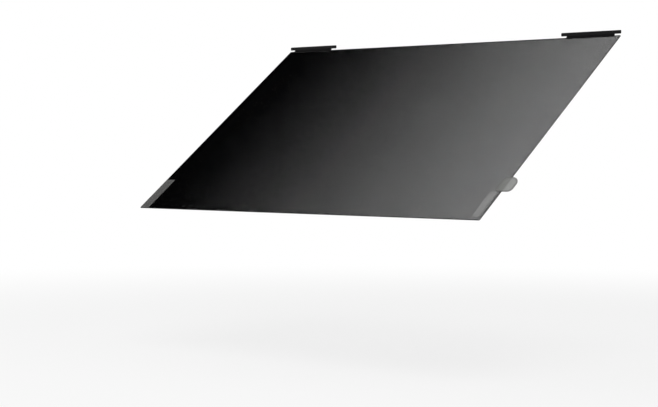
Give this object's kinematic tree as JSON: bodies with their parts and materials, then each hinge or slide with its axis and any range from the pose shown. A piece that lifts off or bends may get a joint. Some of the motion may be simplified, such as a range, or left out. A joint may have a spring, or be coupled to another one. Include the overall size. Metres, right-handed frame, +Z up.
{
  "type": "monitor privacy filter",
  "caption": "Dark see-through louvre film sheet that hangs from black flip strips stuck to a display's top bezel, with a lift tab on its side edge.",
  "frame": {"origin": "on the bezel's surface, level with the fold line and midway between the two flip strips", "axes": "+X along the fold line to the right as the user sees it, +Y into the display, +Z up the upright display"},
  "size_m": [0.3246, 0.1694, 0.1312],
  "materials": {
    "louvre_film": "satin, dark, see-through from the front",
    "strip_black": "fine moulded texture",
    "adhesive": "translucent acrylic adhesive",
    "frosted_film": "frosted",
    "tab_clear": "clear, smoke tinted"
  },
  "bodies": {
    "bezel_side": {"bezel_leaf_left": "strip_black", "bezel_leaf_right": "strip_black", "bezel_tape_left": "adhesive", "bezel_tape_right": "adhesive"},
    "filter": {"filter_sheet": "louvre_film", "sheet_leaf_left": "strip_black", "sheet_leaf_right": "strip_black", "sheet_tape_left": "adhesive", "sheet_tape_right": "adhesive", "corner_strip_left": "frosted_film", "corner_strip_right": "frosted_film", "lift_tab": "tab_clear"}
  },
  "joints": [
    {"name": "flip", "type": "hinge", "parent": "bezel_side", "child": "filter", "pos_m": [0, -0.00085, 0], "axis": [-1, 0, 0], "range_deg": [-53, 127]}
  ]
}
